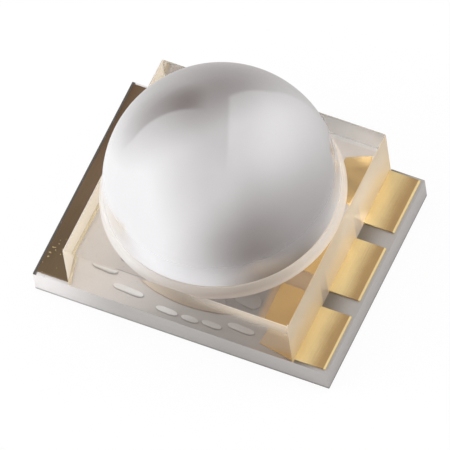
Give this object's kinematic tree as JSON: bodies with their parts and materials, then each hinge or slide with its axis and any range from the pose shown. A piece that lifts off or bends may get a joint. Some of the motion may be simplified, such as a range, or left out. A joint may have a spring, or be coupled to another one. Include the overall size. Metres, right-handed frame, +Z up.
{
  "type": "smd infrared led",
  "caption": "Surface-mount infrared emitter: a clear moulded foot and dome lens on a small flat board with gold-plated pads.",
  "frame": {"origin": "centre of the underside, in the plane of the solder lands", "axes": "+X from the left terminal strip to the three right pads, +Y to the back, +Z up through the dome"},
  "size_m": [0.0032, 0.0024, 0.0023],
  "materials": {
    "laminate": "satin",
    "dark_gold": "satin",
    "gold_plate": "satin",
    "silver_plate": "satin",
    "white_ink": "matte",
    "copper_fill": "satin",
    "silver_paste": "matte",
    "chip_crystal": "polished",
    "gold_wire": "bright",
    "lens_resin": "pearly gloss"
  },
  "bodies": {
    "root": {"board": "laminate", "left_terminal": "dark_gold", "right_pad_front": "gold_plate", "right_pad_middle": "gold_plate", "right_pad_back": "gold_plate", "die_pad": "silver_plate", "printed_marks": "white_ink", "left_land": "gold_plate", "right_land": "gold_plate", "left_vias": "copper_fill", "right_vias": "copper_fill", "heat_vias": "copper_fill", "die_paste": "silver_paste", "chip": "chip_crystal", "chip_contact": "gold_wire", "bond_wire_front": "gold_wire", "bond_wire_back": "gold_wire", "lens": "lens_resin"}
  },
  "joints": []
}
